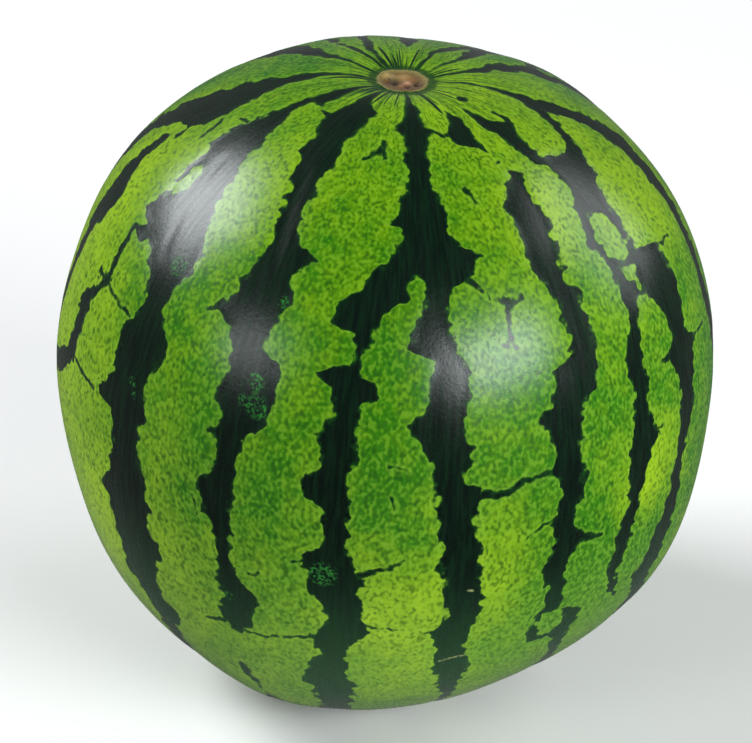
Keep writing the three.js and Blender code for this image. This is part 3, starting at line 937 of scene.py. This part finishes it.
def rind_material():
    """Light rind with net marks, dark streaked stripes with ragged outlines, and the scar."""
    material, start, shader = new_material("rind")
    place = start.add("ShaderNodeTexCoord", output="Object").scaled(1 / MM)
    growth = start.stored("growth_place", "Vector")
    streak = start.stored("streak_place", "Vector")
    reach = start.stored("stem_reach")
    ragged = ragged_distance(start, growth, streak, place, reach)
    light = ragged.step(-0.45, 0.35)
    green, flecks = light_rind(start, growth, streak, reach, ragged)
    colour = dark_stripe(start, growth, streak, reach, ragged).tinted(green, light)
    ring = reach - SCAR_RADIUS - RING_WIDTH - place.noise(size=1.8, detail=1.0) * RING_SWING
    colour = colour.tinted(RING_GREEN, 1 - ring.step(-0.8, 1.2), most=0.85)

    # Scratches, broken up by noise, and the stem scar with its threads.
    scratch = start.stored("scratch_offset", "Vector").length()
    scratch = scratch.most(start.stored("scratch_near") - SCRATCH_MARGIN).step(0.2, 0.8)
    colour = colour.tinted(SCRATCH_TAN, (1 - scratch) * place.noise(size=1.4).step(0.3, 0.55))
    scar_edge = reach + place.sway(size=2.2, reach=2.4, detail=2.0)
    scar = 1 - scar_edge.step(SCAR_RADIUS - 0.1, SCAR_RADIUS + 0.9)
    threads = place.noise(size=0.9, detail=3.0, roughness=0.65)
    corky = start.stored("scar_colour", "Color")
    corky = corky.tinted(THREAD_BROWN, threads.step(0.45, 0.75), most=0.5)
    feed(shader, "Base Color", colour.tinted(corky, scar))

    # Satin wax: a fine grain in the gloss, duller on the flecks and dull on the scar.
    wax = growth.noise(size=1.3, detail=3.0, roughness=0.65)
    fibres = streak.sway(size=2.4, reach=1.0, detail=2.0) * (1 - light)
    roughness = wax * WAX_DULL + GLOSS + flecks * light * FLECK_DULL + fibres * FIBRE_DULL
    feed(shader, "Roughness", roughness + scar * SCAR_DULL)
    height = wax * WAX_RISE * (1 - scar) + threads * scar * THREAD_RISE
    bump = start.add("ShaderNodeBump", {}, {"Strength": 1.0, "Distance": MM, "Height": height})
    feed(shader, "Normal", bump)
    shader.inputs["IOR"].default_value = 1.46
    shader.inputs["Specular IOR Level"].default_value = 0.34
    shader.inputs["Sheen Weight"].default_value = 0.05
    shader.inputs["Sheen Roughness"].default_value = 0.4
    return material


# ---- Floor, lamps and camera ----

PALE_FLOOR = paint(230, 228, 227)
FLOOR_SIDE = 12.0  # metres
FLOOR_SQUARES = 24


def make_floor():
    """A wide, flat, pale floor of equal squares. It doesn't show in glossy reflections."""
    line = np.linspace(-FLOOR_SIDE / 2, FLOOR_SIDE / 2, FLOOR_SQUARES + 1)
    x, y = np.meshgrid(line, line)
    points = np.stack([x, y, np.zeros_like(x)], -1).reshape(-1, 3)
    across = len(line)
    row = np.arange(FLOOR_SQUARES)[:, None] * across + np.arange(FLOOR_SQUARES)
    quads = np.stack([row, row + 1, row + across + 1, row + across], -1).reshape(-1, 4)
    mesh = mesh_from("floor", points, quads, np.zeros((0, 3), int))
    material, _, shader = new_material("pale_floor")
    shader.inputs["Base Color"].default_value = PALE_FLOOR
    shader.inputs["Roughness"].default_value = 0.55
    shader.inputs["Specular IOR Level"].default_value = 0.3
    mesh.materials.append(material)
    floor = object_from(mesh)
    floor.visible_glossy = False
    return floor


# Soft lamps: bearing and height above the horizon in degrees, distance, width and height in
# metres, and power in watts.
LAMPS = {
    "key": (-112, 39, 2.5, 1.25, 1.1, 73.0),
    "front_right": (43, 24, 2.5, 1.5, 0.8, 69.0),
    "front_left": (-50, 23, 2.5, 0.8, 0.6, 11.5),
    "back_right": (110, 29, 2.5, 1.3, 1.6, 27.0),
}
LAMP_COLOUR = (0.96, 1.0, 1.03)
WORLD_GREY = 0.09


def place_towards(thing, middle, bearing, elevation, distance):
    """Puts a lamp or camera at that bearing and height in degrees, looking at the middle."""
    back = Vector(direction(math.radians(90 - elevation), math.radians(bearing - 90)))
    thing.location = middle + back * distance
    thing.rotation_euler = back.to_track_quat("Z", "Y").to_euler()
    bpy.context.collection.objects.link(thing)


def make_lamps(middle):
    """Oblong soft lamps round the fruit, each turned to it and hidden from the camera."""
    for name, (bearing, elevation, distance, width, height, power) in LAMPS.items():
        lamp = bpy.data.lights.new(name, "AREA")
        lamp.shape, lamp.size, lamp.size_y, lamp.energy = "RECTANGLE", width, height, power
        lamp.color = LAMP_COLOUR
        stand = bpy.data.objects.new(name, lamp)
        stand.visible_camera = False
        place_towards(stand, middle, bearing, elevation, distance)
    world = bpy.data.worlds.new("studio")
    world.use_nodes = True
    world.node_tree.nodes["Background"].inputs["Color"].default_value = (WORLD_GREY,) * 3 + (1.0,)
    bpy.context.scene.world = world


CAMERA_ELEVATION = 29.38
CAMERA_DISTANCE = 1.32
LENS = 173.03
SENSOR_WIDTH = 36.0
SHIFT = (-0.00818, 0.0023)
NEAREST_SEEN, FARTHEST_SEEN = 0.05, 50.0


def make_camera(middle):
    """A long lens in front, looking down at the middle of the fruit."""
    lens = bpy.data.cameras.new("camera")
    lens.sensor_fit, lens.sensor_width, lens.lens = "HORIZONTAL", SENSOR_WIDTH, LENS
    lens.shift_x, lens.shift_y = SHIFT
    lens.clip_start, lens.clip_end = NEAREST_SEEN, FARTHEST_SEEN
    camera = bpy.data.objects.new("camera", lens)
    place_towards(camera, middle, 0, CAMERA_ELEVATION, CAMERA_DISTANCE)
    bpy.context.scene.camera = camera


rind, fruit_middle = make_rind()
rind.data.materials.append(rind_material())
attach(rind, "root")
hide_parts("watermelon")
make_floor()
make_lamps(fruit_middle)
make_camera(fruit_middle)
bpy.context.scene.view_settings.view_transform = "Standard"
